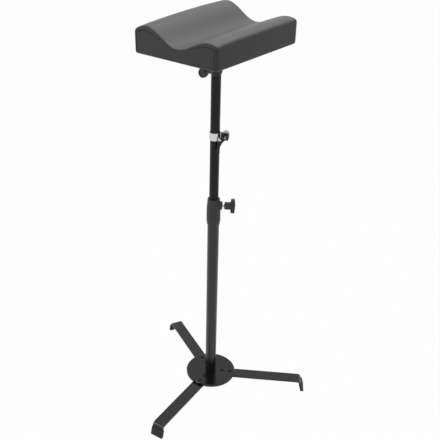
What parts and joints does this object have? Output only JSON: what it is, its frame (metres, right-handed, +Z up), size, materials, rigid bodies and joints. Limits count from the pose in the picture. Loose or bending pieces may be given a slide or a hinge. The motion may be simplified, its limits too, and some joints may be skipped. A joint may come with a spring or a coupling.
{
  "type": "tattoo arm rest stand",
  "caption": "Tripod arm rest for a tattoo chair: a wave-shaped padded top that tilts and swivels on a telescopic black steel post with a round base plate and flat legs.",
  "frame": {"origin": "on the post's axis, in the floor plane under the three feet", "axes": "+Z up along the post, +X along the right-hand leg and the lock screw, +Y towards the back"},
  "size_m": [0.4746, 0.528, 1.111],
  "materials": {
    "black_paint": "satin",
    "black_tube": "gloss",
    "black_plastic": "satin",
    "nylon": "matte",
    "black_rubber": "matte",
    "black_steel": "satin",
    "zinc_steel": "satin",
    "chrome": "polished",
    "brass": "satin",
    "cast_zinc": "satin",
    "plywood": "matte",
    "foam": "matte",
    "grey_vinyl": "satin"
  },
  "bodies": {
    "base": {"base_plate": "black_paint", "leg_right": "black_paint", "leg_back": "black_paint", "leg_front": "black_paint", "foot_cap_right": "black_rubber", "foot_cap_back": "black_rubber", "foot_cap_front": "black_rubber", "leg_screws": "black_steel", "leg_nuts": "black_steel", "post_washer": "zinc_steel", "post_bolt": "zinc_steel", "post_insert": "zinc_steel", "lower_tube": "black_tube", "lock_collar": "black_plastic", "collar_bush": "nylon", "lock_insert": "brass"},
    "lock_pad": {"lock_pressure_pad": "brass"},
    "lock_handle": {"lock_screw": "zinc_steel", "lock_knob": "black_plastic"},
    "guide": {"guide_ring": "nylon"},
    "upper_post": {"upper_tube": "black_tube", "tube_plug": "black_plastic", "tilt_barrel": "black_paint"},
    "stop_sleeve": {"stop_liner": "black_rubber"},
    "stop_clamp": {"stop_strap": "chrome", "cam_seat": "black_plastic"},
    "clamp_rod": {"clamp_bolt": "zinc_steel"},
    "cam_handle": {"clamp_lever": "black_paint", "cam_pin": "zinc_steel"},
    "nut_seat": {"nut_washer": "black_plastic"},
    "nut": {"thumb_nut": "cast_zinc"},
    "pad": {"friction_washers": "nylon", "tilt_bracket": "black_paint", "bracket_screws": "black_steel", "board_nuts": "zinc_steel", "tilt_bolt": "zinc_steel", "pad_board": "plywood", "pad_foam": "foam", "pad_cover": "grey_vinyl"},
    "tilt_seat": {"tilt_washer": "zinc_steel"},
    "tilt_handle": {"tilt_knob": "black_plastic"}
  },
  "joints": [
    {"name": "lock_screw_advance", "type": "slide", "parent": "base", "child": "lock_pad", "axis": [1, 0, 0], "range_m": [0, 0.0025]},
    {"name": "lock_knob_turn", "type": "hinge", "parent": "lock_pad", "child": "lock_handle", "pos_m": [0.03, 0, 0.624], "axis": [1, 0, 0], "range_deg": [0, 720]},
    {"name": "height_slide", "type": "slide", "parent": "base", "child": "guide", "axis": [0, 0, 1], "range_m": [-0.164, 0.1025]},
    {"name": "pad_swivel", "type": "hinge", "parent": "guide", "child": "upper_post", "pos_m": [0, 0, 0.46], "axis": [0, 0, 1], "continuous": true},
    {"name": "stop_slide", "type": "slide", "parent": "upper_post", "child": "stop_sleeve", "axis": [0, 0, -1], "range_m": [-0.138, 0.164]},
    {"name": "stop_swivel", "type": "hinge", "parent": "stop_sleeve", "child": "stop_clamp", "pos_m": [0, 0, 0.822], "axis": [0, 0, 1], "continuous": true},
    {"name": "clamp_rod_turn", "type": "hinge", "parent": "stop_clamp", "child": "clamp_rod", "pos_m": [0.027, 0, 0.822], "axis": [0, 1, 0], "continuous": true},
    {"name": "cam_lever_flip", "type": "hinge", "parent": "clamp_rod", "child": "cam_handle", "pos_m": [0.027, -0.014, 0.822], "axis": [-1, 0, 0], "range_deg": [0, 160]},
    {"name": "nut_washer_advance", "type": "slide", "parent": "clamp_rod", "child": "nut_seat", "axis": [0, 1, 0], "range_m": [0, 0.0016]},
    {"name": "thumb_nut_turn", "type": "hinge", "parent": "nut_seat", "child": "nut", "pos_m": [0.027, 0.01, 0.822], "axis": [0, 1, 0], "range_deg": [0, 720]},
    {"name": "pad_tilt", "type": "hinge", "parent": "upper_post", "child": "pad", "pos_m": [0, 0, 0.994], "axis": [0.5592, 0.829, 0], "range_deg": [-90, 90]},
    {"name": "tilt_washer_advance", "type": "slide", "parent": "pad", "child": "tilt_seat", "axis": [-0.5592, -0.829, 0], "range_m": [0, 0.0025]},
    {"name": "tilt_knob_turn", "type": "hinge", "parent": "tilt_seat", "child": "tilt_handle", "pos_m": [0, 0, 0.994], "axis": [-0.5592, -0.829, 0], "range_deg": [0, 720]}
  ],
  "couplings": [
    {"joint": "lock_knob_turn", "follows": "lock_screw_advance", "rad_per_m": 5026.5},
    {"joint": "thumb_nut_turn", "follows": "nut_washer_advance", "rad_per_m": 7854},
    {"joint": "tilt_knob_turn", "follows": "tilt_washer_advance", "rad_per_m": 5026.5}
  ]
}
